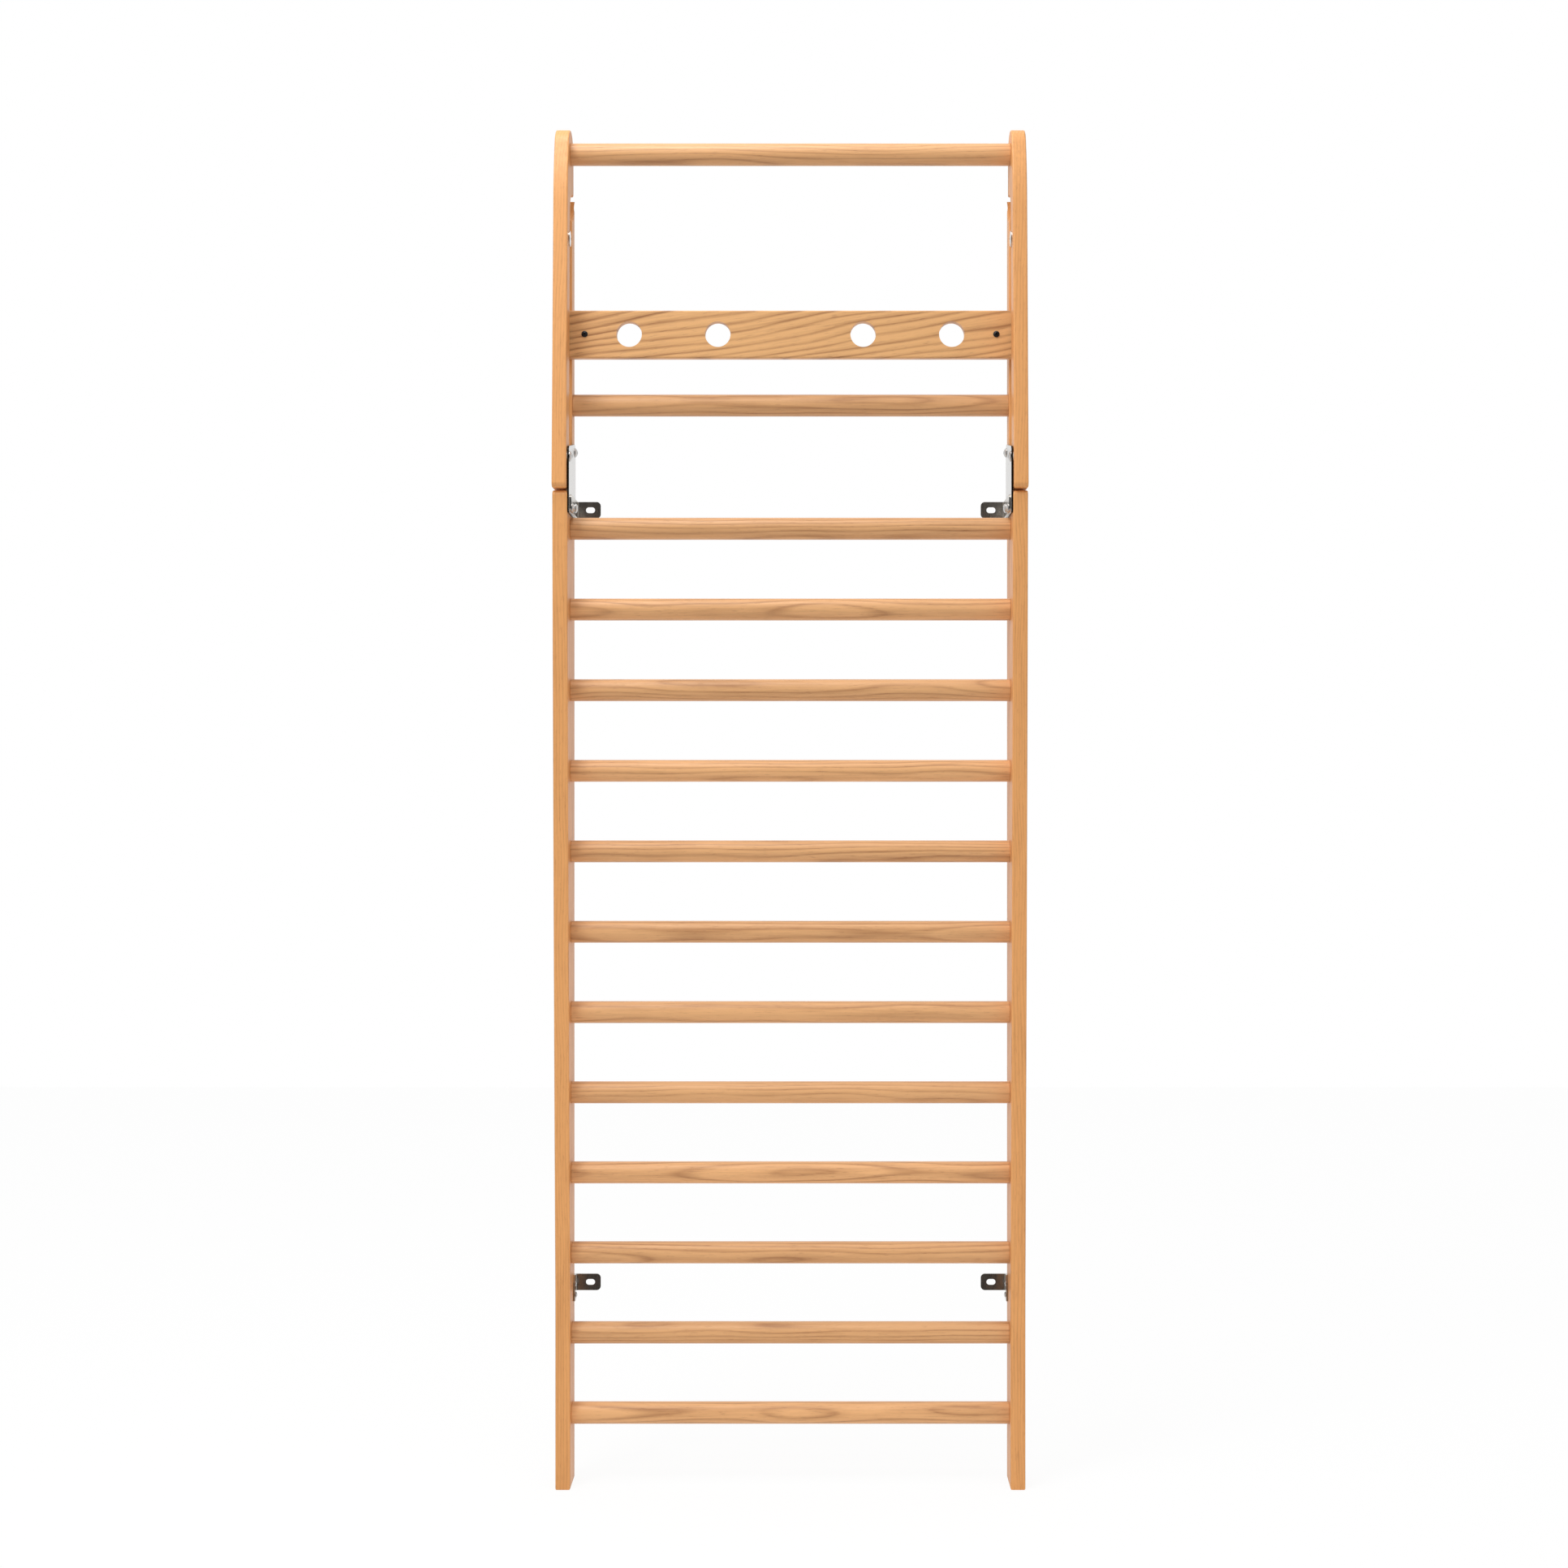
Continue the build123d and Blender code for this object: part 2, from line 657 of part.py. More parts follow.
with BuildPart() as blade:
    with BuildSketch(face_at(blade_inner_x)):
        with BuildLine():
            edge = FilletPolyline(
                nose,
                at(nose_bend_depth, bar_height - nose_drop),
                at(tail_front, tail_height),
                at(tail_rear, tail_height),
                at(*wrap_corner),
                at(bar_depth - head_radius, wrap_corner[1]),
                at(bar_depth - head_radius, bar_height),
                radius=[nose_round, tail_round, tail_rear_round, wrap_round, chin_round],
            )
            ThreePointArc(edge @ 1, at(bar_depth, bar_height + head_radius), edge @ 0)
        make_face()
    extrude(amount=blade_thickness)
    fillet(blade.faces().filter_by(Axis.X).edges(), arris)
    with BuildSketch(face_at(blade_inner_x)):
        with Locations(bar_place):
            Circle(tenon_diameter / 2 + glue_gap)
    extrude(amount=tenon_length + glue_gap, mode=Mode.SUBTRACT)
    with BuildSketch(face_at(blade_inner_x)):
        with Locations(pivot_place):
            Circle(bush_outer / 2 + glue_gap)
    extrude(amount=blade_thickness, mode=Mode.SUBTRACT)
    with BuildSketch(face_at(outer_x)):
        with Locations(pivot_place):
            Circle(pivot_pocket_diameter / 2)
    extrude(amount=-pivot_pocket_depth, mode=Mode.SUBTRACT)
    with BuildSketch(face_at(blade_inner_x)):
        with Locations(disc_place):
            Circle(disc_spigot / 2 + glue_gap)
    extrude(amount=disc_spigot_length + glue_gap, mode=Mode.SUBTRACT)
save_pair(blade.part, "blade")

# Top bar between the blades
with BuildPart() as top_bar:
    with BuildSketch(face_at(-blade_inner_x)):
        with Locations(bar_place):
            Circle(rung_diameter / 2)
    extrude(amount=2 * blade_inner_x)
    with BuildSketch(face_at(-blade_inner_x - tenon_length)):
        with Locations(bar_place):
            Circle(tenon_diameter / 2)
    extrude(amount=2 * (blade_inner_x + tenon_length))
save(top_bar.part, "top_bar")

# Anchor discs on the inner faces of the blades
with BuildPart() as anchor_disc:
    with BuildSketch(face_at(blade_inner_x)):
        with Locations(disc_place):
            Circle(disc_diameter / 2)
    extrude(amount=-disc_thickness)
    fillet(anchor_disc.faces().sort_by(Axis.X)[0].edges(), disc_ease)
    with BuildSketch(face_at(blade_inner_x)):
        with Locations(disc_place):
            Circle(disc_spigot / 2)
    extrude(amount=disc_spigot_length)
save_pair(anchor_disc.part, "anchor_disc")
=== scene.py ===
import json
import math

import bpy
import numpy as np
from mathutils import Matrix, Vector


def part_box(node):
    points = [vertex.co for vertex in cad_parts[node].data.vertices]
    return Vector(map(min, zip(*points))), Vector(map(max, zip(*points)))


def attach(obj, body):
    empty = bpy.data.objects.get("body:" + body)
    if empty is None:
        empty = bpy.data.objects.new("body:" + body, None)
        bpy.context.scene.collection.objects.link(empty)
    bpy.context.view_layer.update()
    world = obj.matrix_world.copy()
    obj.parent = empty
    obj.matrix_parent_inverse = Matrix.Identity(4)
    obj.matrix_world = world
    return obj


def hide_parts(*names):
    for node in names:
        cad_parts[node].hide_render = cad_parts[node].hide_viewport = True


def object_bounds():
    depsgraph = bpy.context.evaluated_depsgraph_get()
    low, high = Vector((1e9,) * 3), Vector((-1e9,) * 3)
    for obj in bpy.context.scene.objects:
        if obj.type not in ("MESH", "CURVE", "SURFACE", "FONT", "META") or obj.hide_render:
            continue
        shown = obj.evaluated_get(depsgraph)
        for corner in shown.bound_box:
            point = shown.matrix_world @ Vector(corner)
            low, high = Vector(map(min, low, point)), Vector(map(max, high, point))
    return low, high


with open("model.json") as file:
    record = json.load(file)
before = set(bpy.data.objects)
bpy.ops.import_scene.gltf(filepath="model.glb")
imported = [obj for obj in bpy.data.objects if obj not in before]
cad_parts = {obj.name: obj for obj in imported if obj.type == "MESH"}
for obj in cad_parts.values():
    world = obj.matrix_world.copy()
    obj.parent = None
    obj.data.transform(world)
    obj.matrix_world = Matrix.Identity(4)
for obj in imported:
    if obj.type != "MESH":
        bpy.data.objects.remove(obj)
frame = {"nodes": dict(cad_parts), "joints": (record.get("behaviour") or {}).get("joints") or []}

cad_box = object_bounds()
nodes = frame["nodes"]
joint = frame["joints"][0]
SIDES = ("left", "right")

# Camera: a fairly long lens at chest height, square on to the wall and a little right of the middle.
# A small shift takes the place of turning it.
camera_data = bpy.data.cameras.new("camera")
camera_data.sensor_width = 36.0
camera_data.lens = 52.98
camera_data.shift_x = -0.0166
camera_data.shift_y = -0.0031
camera = bpy.data.objects.new("camera", camera_data)
camera.location = (0.033, -3.950, 0.200)
camera.rotation_euler = (math.radians(90.0), 0.0, 0.0)
bpy.context.collection.objects.link(camera)
bpy.context.scene.camera = camera
bpy.context.scene.view_settings.view_transform = "Standard"


# Side boards: two oak planks on edge, sawn to their taper, every long edge eased and the faces oiled.
# The rungs, posts and steel are all fastened to them. Their grain runs up the board.
OAK_PALE = (0.800, 0.375, 0.125, 1.0)
OAK_DARK = (0.420, 0.165, 0.045, 1.0)
OIL_COAT = 0.1
PORE_DEPTH = 0.0001
UP_THE_BOARD = (0.0, math.radians(90.0), 0.0)  # turn that brings upright grain onto X
BOARD_RING_SPACING = 0.0048
BOARD_RING_TURN = 0.3
EDGE_CONTRAST = 0.34
BROAD_CONTRAST = 0.72


def add(tree, kind, feed=(), **settings):
    """Adds a shader node. feed gives its inputs by name or in order: a socket is linked, a value set."""
    made = tree.nodes.new("ShaderNode" + kind)
    for name, value in settings.items():
        setattr(made, name, value)
    pairs = feed.items() if isinstance(feed, dict) else enumerate(feed)
    for place, source in pairs:
        if isinstance(source, bpy.types.NodeSocket):
            tree.links.new(source, made.inputs[place])
        else:
            made.inputs[place].default_value = source
    return made


def sum_up(tree, operation, *values):
    """One Math node, named by its operation; returns its result."""
    return add(tree, "Math", values, operation=operation).outputs[0]


def stretched(tree, place, along, across):
    """The place scaled by one factor along X and another across it, which draws a pattern out."""
    return add(tree, "VectorMath", (place, (along, across, across)), operation="MULTIPLY").outputs[0]


def noise(tree, place, detail=2.0):
    """Smooth noise about one unit in size, from 0 to 1 with its middle at a half."""
    feed = {"Vector": place, "Scale": 1.0, "Detail": detail, "Roughness": 0.55}
    return add(tree, "TexNoise", feed).outputs[0]


def ramp(tree, factor, stops):
    """Value that goes through the given (position, grey) stops as factor goes from 0 to 1."""
    made = add(tree, "ValToRGB", (factor,))
    elements = made.color_ramp.elements
    for number, (position, grey) in enumerate(stops):
        stop = elements[number] if number < 2 else elements.new(position)
        stop.position = position
        stop.color = (grey, grey, grey, 1.0)
    return made.outputs[0]


def blend_colours(tree, factor, first, second):
    """Colour that goes from first to second as factor goes from 0 to 1."""
    made = tree.nodes.new("ShaderNodeMix")
    made.data_type = "RGBA"
    for place, source in ((0, factor), (6, first), (7, second)):
        if isinstance(source, bpy.types.NodeSocket):
            tree.links.new(source, made.inputs[place])
        else:
            made.inputs[place].default_value = source
    return made.outputs[2]


def new_group(name, inputs, outputs):
    """Empty shader node group; inputs and outputs map socket names to Float, Vector or Color."""
    group = bpy.data.node_groups.new(name, "ShaderNodeTree")
    for way, sockets in (("INPUT", inputs), ("OUTPUT", outputs)):
        for socket, kind in sockets.items():
            group.interface.new_socket(socket, in_out=way, socket_type="NodeSocket" + kind)
    return group, group.nodes.new("NodeGroupInput").outputs, group.nodes.new("NodeGroupOutput").inputs


def make_oak_grain():
    """Oak: growth rings are flat sheets that waver along the grain, dark where the pores of spring lie.

    Place has its X along the grain. The ring number is the distance across the sheets over their
    spacing, plus slow noise. Its fraction gives one dark line a ring, and fine noise drawn out along
    the grain gives fibres and pores.
    """
    inputs = {
        "Place": "Vector", "Ring Spacing": "Float", "Ring Turn": "Float", "Wobble": "Float",
        "Contrast": "Float", "Pale": "Color", "Dark": "Color",
    }
    outputs = {"Color": "Color", "Roughness": "Float", "Height": "Float"}
    tree, given, result = new_group("oak_grain", inputs, outputs)
    place = given["Place"]
    parts = add(tree, "SeparateXYZ", (place,)).outputs
    sideways = sum_up(tree, "MULTIPLY", parts[1], sum_up(tree, "SINE", given["Ring Turn"]))
    upright = sum_up(tree, "MULTIPLY", parts[2], sum_up(tree, "COSINE", given["Ring Turn"]))
    across = sum_up(tree, "DIVIDE", sum_up(tree, "ADD", sideways, upright), given["Ring Spacing"])
    slow = sum_up(tree, "SUBTRACT", noise(tree, stretched(tree, place, 3.2, 13.0), 1.0), 0.5)
    ring = sum_up(tree, "MULTIPLY_ADD", slow, given["Wobble"], across)
    one_ring = ((0.0, 0.75), (0.09, 1.0), (0.2, 0.45), (0.45, 0.16), (0.8, 0.0), (1.0, 0.75))
    line = ramp(tree, sum_up(tree, "FRACT", ring), one_ring)
    strength = noise(tree, stretched(tree, place, 6.0, 45.0))
    line = sum_up(tree, "MULTIPLY", line, sum_up(tree, "MULTIPLY", strength, 1.7))
    fibres = noise(tree, stretched(tree, place, 11.0, 330.0), 4.0)
    pores = ramp(tree, noise(tree, stretched(tree, place, 55.0, 800.0)), ((0.6, 0.0), (0.7, 1.0)))
    dark = sum_up(tree, "MULTIPLY", line, given["Contrast"])
    dark = sum_up(tree, "MULTIPLY_ADD", sum_up(tree, "SUBTRACT", fibres, 0.5), 0.75, dark)
    dark = sum_up(tree, "MULTIPLY_ADD", pores, 0.28, dark)
    cloud = sum_up(tree, "SUBTRACT", noise(tree, stretched(tree, place, 2.0, 8.0)), 0.5)
    dark = add(tree, "Math", (cloud, 0.5, dark), operation="MULTIPLY_ADD", use_clamp=True).outputs[0]
    tree.links.new(blend_colours(tree, dark, given["Pale"], given["Dark"]), result["Color"])
    tree.links.new(sum_up(tree, "MULTIPLY_ADD", fibres, 0.22, 0.36), result["Roughness"])
    hollow = sum_up(tree, "MULTIPLY_ADD", fibres, 0.5, pores)
    tree.links.new(sum_up(tree, "MULTIPLY", hollow, -1.0), result["Height"])
    return tree


oak_grain = make_oak_grain()


def new_material(name, **constants):
    """Material, its node tree and its Principled shader, with constants on the shader's own sockets."""
    material = bpy.data.materials.new(name)
    material.use_nodes = True
    shader = material.node_tree.nodes["Principled BSDF"]
    for socket, value in constants.items():
        shader.inputs[socket.replace("_", " ")].default_value = value
    return material, material.node_tree, shader


def bump(tree, shader, height, distance):
    """Feeds a height, in units of distance metres, to the shader's normal."""
    feed = {"Height": height, "Distance": distance, "Strength": 1.0}
    tree.links.new(add(tree, "Bump", feed).outputs[0], shader.inputs["Normal"])


def oak_material(name, turn, move=None, **grain):
    """Oiled oak. turn brings the grain onto X, move shifts the wood, and grain is the group's inputs.

    An input is a value, or a function of the node tree that gives a socket.
    """
    material, tree, shader = new_material(name, Coat_Weight=OIL_COAT, Coat_Roughness=0.3)
    place = add(tree, "TexCoord").outputs["Object"]
    if move:
        place = move(tree, place)
    turned = add(tree, "Mapping", {"Vector": place, "Rotation": turn}).outputs[0]
    wood = tree.nodes.new("ShaderNodeGroup")
    wood.node_tree = oak_grain
    tree.links.new(turned, wood.inputs["Place"])
    for socket, value in grain.items():
        source = value(tree) if callable(value) else value
        if isinstance(source, bpy.types.NodeSocket):
            tree.links.new(source, wood.inputs[socket.replace("_", " ")])
        else:
            wood.inputs[socket.replace("_", " ")].default_value = source
    tree.links.new(wood.outputs["Color"], shader.inputs["Base Color"])
    tree.links.new(wood.outputs["Roughness"], shader.inputs["Roughness"])
    bump(tree, shader, wood.outputs["Height"], PORE_DEPTH)
    return material


def finish_nodes(names, material):
    """Gives CAD nodes their material."""
    for name in names:
        for slot in nodes[name].material_slots:
            slot.material = material


def pair(name):
    """The left and the right node of that name."""
    return [f"{side}_{name}" for side in SIDES]


def faces_sideways(tree):
    """How far the surface faces along X, either way: 1 on the sides' broad faces, 0 on their edges."""
    facing = add(tree, "SeparateXYZ", (add(tree, "TexCoord").outputs["Normal"],)).outputs[0]
    return sum_up(tree, "ABSOLUTE", facing)


def face_contrast(tree):
    """Contrast of the growth rings: weak on the narrow edges of a board, stronger on its broad faces."""
    return ramp(tree, faces_sideways(tree), ((0.6, EDGE_CONTRAST), (0.95, BROAD_CONTRAST)))


oak_boards = oak_material(
    "oak_boards",
    UP_THE_BOARD,
    Ring_Spacing=BOARD_RING_SPACING,
    Ring_Turn=BOARD_RING_TURN,
    Wobble=5.0,
    Contrast=face_contrast,
    Pale=OAK_PALE,
    Dark=OAK_DARK,
)
finish_nodes(pair("side_board") + pair("rear_post") + pair("blade"), oak_boards)


# Rungs: turned oak bars with a glued tenon in each side board. Each comes from its own length of wood,
# so the rings lie another way in each one and its colour is a little lighter or darker.
RUNG_PALE = (0.790, 0.425, 0.185, 1.0)
RUNG_DARK = (0.340, 0.140, 0.048, 1.0)
RUNG_RING_SPACING = 0.0078
RUNG_COUNT = 13
SHADED_RUNGS = (12, 13)  # the two highest rungs, painted darker: painted shade for the shade under the cross board
PAINTED_SHADE_TONE = 0.9
ROUND_RUNG = 96  # points round a rung
SHOULDER_EASE = 0.0006
TENON_RADIUS = 0.0125
SHARP_EDGE = math.radians(32.0)  # a fold sharper than this keeps its line
chance = np.random.default_rng(7)


def revolve(profile, turns):
    """Rings of a turned shape: each profile point (x, r) is carried round the X axis in a circle."""
    x, radius = np.asarray(profile, float).T[:, :, None]
    angle = np.linspace(0.0, 2.0 * math.pi, turns, endpoint=False)
    return np.stack([x + 0.0 * angle, radius * np.cos(angle), radius * np.sin(angle)], axis=-1)


def outward(points, quads):
    """The quads, turned round if the volume that they enclose comes out negative."""
    about_middle = points - points.mean(axis=0)
    a, b, c, d = (about_middle[quads[:, corner]] for corner in range(4))
    volume = np.einsum("ij,ij->", a, np.cross(b, c)) + np.einsum("ij,ij->", a, np.cross(c, d))
    return quads if volume > 0 else quads[:, ::-1]


def skin(rings, closed):
    """Points and faces of a tube through the rings; its ends meet if closed, or else are capped flat."""
    count, turns = rings.shape[:2]
    points = rings.reshape(-1, 3)
    index = np.arange(count * turns).reshape(count, turns)
    ahead = np.roll(index, -1, axis=0) if closed else index[1:]
    behind = index if closed else index[:-1]
    quads = np.stack([behind, np.roll(behind, -1, 1), np.roll(ahead, -1, 1), ahead], axis=-1)
    quads = quads.reshape(-1, 4)
    kept = outward(points, quads)
    faces = kept.tolist()
    if not closed:
        flipped = kept is not quads
        first, last = index[0], index[-1]
        faces.append((first if flipped else first[::-1]).tolist())
        faces.append((last[::-1] if flipped else last).tolist())
    return points, faces


def new_piece(name, shells, material, body, replaced):
    """One object from (rings, closed) shells, which rides on a body and stands for CAD nodes."""
    points = []
    faces = []
    for rings, closed in shells:
        start = sum(len(block) for block in points)
        shell_points, shell_faces = skin(rings, closed)
        points.append(shell_points)
        faces += [[start + corner for corner in face] for face in shell_faces]
    mesh = bpy.data.meshes.new(name)
    mesh.from_pydata(np.concatenate(points).tolist(), [], faces)
    mesh.polygons.foreach_set("use_smooth", np.ones(len(mesh.polygons), bool))
    mesh.set_sharp_from_angle(angle=SHARP_EDGE)
    mesh.materials.append(material)
    piece = bpy.data.objects.new(name, mesh)
    bpy.context.collection.objects.link(piece)
    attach(piece, body)
    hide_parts(*replaced)
    return piece


def mark(piece, name, kind, value):
    """Stores the same value on every point of a piece, for its material to read."""
    attribute = piece.data.attributes.new(name, kind, "POINT")
    field = "vector" if kind == "FLOAT_VECTOR" else "value"
    attribute.data.foreach_set(field, np.tile(np.ravel(value), len(piece.data.vertices)))


def own(tree, name, output="Fac"):
    """The value of that name that was marked on the piece."""
    return add(tree, "Attribute", attribute_name=name).outputs[output]


def shifted(tree, place):
    """The place moved by the piece's own shift, so that no two rungs show the same wood."""
    shift = own(tree, "grain_shift", "Vector")
    return add(tree, "VectorMath", (place, shift), operation="ADD").outputs[0]


def own_turn(tree):
    """How far the growth rings of the piece's own length of wood are turned."""
    return own(tree, "ring_turn")


def own_pale(tree):
    """The pale colour of the rungs made lighter or darker by the piece's own tone."""
    feed = {0: RUNG_PALE[:3], "Scale": own(tree, "tone")}
    return add(tree, "VectorMath", feed, operation="SCALE").outputs[0]


oak_rungs = oak_material(
    "oak_rungs",
    (0.0, 0.0, 0.0),
    move=shifted,
    Ring_Spacing=RUNG_RING_SPACING,
    Ring_Turn=own_turn,
    Wobble=4.2,
    Contrast=0.62,
    Pale=own_pale,
    Dark=RUNG_DARK,
)


def make_rung(name, body, shoulder_x, ring_turn, tone):
    """Turned bar: tenon, square shoulder with a small easing, shaft, and the same mirrored."""
    low, high = (np.array(corner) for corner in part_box(name))
    middle = (low + high) / 2.0
    radius = (high[2] - low[2]) / 2.0
    right = [
        (shoulder_x - SHOULDER_EASE, radius),
        (shoulder_x, radius - SHOULDER_EASE),
        (shoulder_x, TENON_RADIUS),
        (high[0], TENON_RADIUS),
    ]
    profile = [(-x, r) for x, r in reversed(right)] + right
    rings = revolve(profile, ROUND_RUNG) + np.array([0.0, middle[1], middle[2]])
    piece = new_piece("turned_" + name, [(rings, False)], oak_rungs, body, [name])
    mark(piece, "grain_shift", "FLOAT_VECTOR", chance.uniform(-9.0, 9.0, 3))
    mark(piece, "ring_turn", "FLOAT", ring_turn)
    mark(piece, "tone", "FLOAT", tone)


inner_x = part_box("right_side_board")[0][0]
for number in range(1, RUNG_COUNT + 1):
    ring_turn = chance.uniform(0.0, math.pi)
    tone = chance.uniform(0.92, 1.05)
    # painted shade: the highest rungs get a darker tone
    if number in SHADED_RUNGS:
        tone *= PAINTED_SHADE_TONE
    make_rung(f"rung_{number:02d}", "wall_frame", inner_x, ring_turn, tone)


# Top bar: the same turned oak, glued between the two swinging blades, with broad sweeping rings.
blade_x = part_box("right_blade")[0][0]
make_rung("top_bar", "pull_up_frame", blade_x, ring_turn=0.35, tone=0.94)


# Cross board: flat-sawn oak with four round holes, bolted to the posts. It is cut a little across the
# grain, so its rings run up to the right.
GRAIN_SLOPE = math.radians(9.0)
oak_cross_board = oak_material(
    "oak_cross_board",
    (0.0, GRAIN_SLOPE, 0.0),
    Ring_Spacing=0.0125,
    Ring_Turn=0.0,
    Wobble=3.2,
    Contrast=0.80,
    Pale=(0.770, 0.420, 0.172, 1.0),
    Dark=(0.300, 0.120, 0.038, 1.0),
)
finish_nodes(["cross_board"], oak_cross_board)


# Dowels: plain beech pins glued in the ends of the posts and boards, hidden once the frame is together.
beech_dowels = oak_material(
    "beech_dowels",
    UP_THE_BOARD,
    Ring_Spacing=0.003,
    Ring_Turn=0.6,
    Wobble=1.0,
    Contrast=0.2,
    Pale=(0.700, 0.460, 0.270, 1.0),
    Dark=(0.480, 0.280, 0.150, 1.0),
)
finish_nodes(pair("post_dowels"), beech_dowels)


# Hinge plates: 3 mm steel with its faces brushed up and down. The edges are broken and painted dark:
# painted shade for the shade they lie in. Each is bolted to a side board and a post, and carries the
# pivot.
# colour of the painted shade on the plates' edges
EDGE_SHADE_COLOUR = (0.030, 0.028, 0.026, 1.0)
BRUSHED_DEPTH = 0.00001


def make_brushing():
    """Brushed metal: noise drawn far out along Z gives fine lines, and slow noise clouds of wear."""
    outputs = {"Color": "Color", "Roughness": "Float", "Height": "Float"}
    tree, given, result = new_group("brushed_metal", {"Pale": "Color", "Dark": "Color"}, outputs)
    place = add(tree, "TexCoord").outputs["Object"]
    drawn = add(tree, "VectorMath", (place, (2600.0, 2600.0, 60.0)), operation="MULTIPLY").outputs[0]
    lines = noise(tree, drawn, 3.0)
    cloud = noise(tree, stretched(tree, place, 60.0, 60.0), 3.0)
    mixed = sum_up(tree, "MULTIPLY_ADD", lines, 0.6, sum_up(tree, "MULTIPLY", cloud, 0.4))
    tree.links.new(blend_colours(tree, mixed, given["Dark"], given["Pale"]), result["Color"])
    tree.links.new(sum_up(tree, "MULTIPLY_ADD", mixed, 0.35, 0.12), result["Roughness"])
    tree.links.new(lines, result["Height"])
    return tree


brushed_metal = make_brushing()


def metal_material(name, pale, dark, painted_edge_shade=False):
    """Bare or plated steel, brushed; optionally with painted shade, a dark colour on what turns away
    from X.
    """
    material, tree, shader = new_material(name, Metallic=1.0)
    face = tree.nodes.new("ShaderNodeGroup")
    face.node_tree = brushed_metal
    face.inputs["Pale"].default_value = pale
    face.inputs["Dark"].default_value = dark
    colour = face.outputs["Color"]
    if painted_edge_shade:
        # painted shade: the faces that turn away from X, the plates' edges, are blended to the dark edge
        # colour
        flat = ramp(tree, faces_sideways(tree), ((0.55, 0.0), (0.85, 1.0)))
        colour = blend_colours(tree, flat, EDGE_SHADE_COLOUR, colour)
    tree.links.new(colour, shader.inputs["Base Color"])
    tree.links.new(face.outputs["Roughness"], shader.inputs["Roughness"])
    bump(tree, shader, face.outputs["Height"], BRUSHED_DEPTH)
    return material


satin_steel = metal_material(
    "satin_steel_plates", (0.76, 0.75, 0.73, 1.0), (0.54, 0.53, 0.52, 1.0), painted_edge_shade=True
)
finish_nodes(pair("hinge_plate"), satin_steel)


# Wall brackets: bent angles of bare satin steel with a slotted tab against the wall. Two are bolted over
# the hinge plates and two are screwed low down on the side boards; small ones hold the cross board.
bracket_steel = metal_material("satin_steel_brackets", (0.66, 0.63, 0.58, 1.0), (0.46, 0.44, 0.41, 1.0))
for bracket_name in ("upper_wall_bracket", "lower_wall_bracket", "board_bracket"):
    finish_nodes(pair(bracket_name), bracket_steel)


# Plate bolts: three zinc-plated button-head bolts a side with hexagon sockets, put in from the inner
# face, with coarse rolled threads on their tips.
ROUND_BOLT = 72  # points round a bolt or nut
SOCKET_DEPTH = 0.0022
RECESS_DRAFT = 0.97  # the floor of a recess over its mouth
RECESS_LIP = 1.06
RECESS_CLEAR = 1.12  # rings of the dome are round from here on
DOME_ROWS = 9
THREAD_ROWS = 6.0  # a pitch
THREAD_DEPTH = 0.35  # over the pitch


def hexagon(flats):
    """Distance to the side of a hexagon: half its flats over the cosine to the nearest flat."""
    sixth = math.pi / 3.0
    return lambda angle: flats / 2.0 / np.cos((angle + sixth / 2.0) % sixth - sixth / 2.0)


def cross(width, reach):
    """Distance to the side of a cross: half its width over the sine to the nearest arm, or its reach."""
    quarter = math.pi / 2.0

    def radius(angle):
        off = np.abs((angle + quarter / 2.0) % quarter - quarter / 2.0)
        return np.minimum(reach, width / 2.0 / np.maximum(np.sin(off), 1e-6))

    return radius


def wrapped(rows):
    """Rings round the X axis from rows of (x, radius), each given at every turn of a full circle."""
    angle = np.linspace(0.0, 2.0 * math.pi, ROUND_BOLT, endpoint=False)
    x, radius = (np.array(values) for values in zip(*rows))
    return np.stack([x, radius * np.cos(angle), radius * np.sin(angle)], axis=-1)


def bolt_rings(
    head_radius, head_height, rim, shank_radius, length, recess, recess_depth, pitch, thread
):
    """Rings of a bolt on the X axis, head outwards at negative x and its seat at x = 0.

    The dome is an arc from the rim up to the crown. The recess goes straight in from the dome. The
    last stretch of the shank, as long as thread, is cut back by a triangle wave that climbs a pitch
    each turn.
    """
    angle = np.linspace(0.0, 2.0 * math.pi, ROUND_BOLT, endpoint=False)
    level = angle * 0.0
    mouth = recess(angle)
    lip = mouth * RECESS_LIP
    rise = head_height - rim
    ball = (head_radius ** 2 + rise ** 2) / (2.0 * rise)

    def dome(radius):
        return -(rim + np.sqrt(ball ** 2 - radius ** 2) - (ball - rise))

    rows = [
        (level - head_height + recess_depth, mouth * RECESS_DRAFT),
        (dome(mouth), mouth),
        (dome(lip), lip),
    ]
    for share in np.linspace(0.0, 1.0, DOME_ROWS):
        ring = lip + (head_radius - lip) * (0.12 + 0.88 * share)
        ring = np.where(share < 0.3, ring, np.maximum(ring, mouth.max() * RECESS_CLEAR))
        rows.append((dome(ring), ring))
    for x, radius in ((0.0, head_radius), (0.0, shank_radius), (length - thread, shank_radius)):
        rows.append((level + x, level + radius))
    steps = max(2, int(thread / pitch * THREAD_ROWS))
    for x in np.linspace(length - thread, length - pitch / 2.0, steps):
        wave = np.abs((x / pitch - angle / (2.0 * math.pi)) % 1.0 - 0.5) * 2.0
        rows.append((level + x, shank_radius - THREAD_DEPTH * pitch * wave))
    rows.append((level + length, level + shank_radius - 0.5 * pitch))
    return wrapped(rows)


def placed(rings, middle, side):
    """Rings moved to their axis, and mirrored to the left side where side is -1."""
    return rings * np.array([side, 1.0, 1.0]) + np.array([side * middle[0], middle[1], middle[2]])


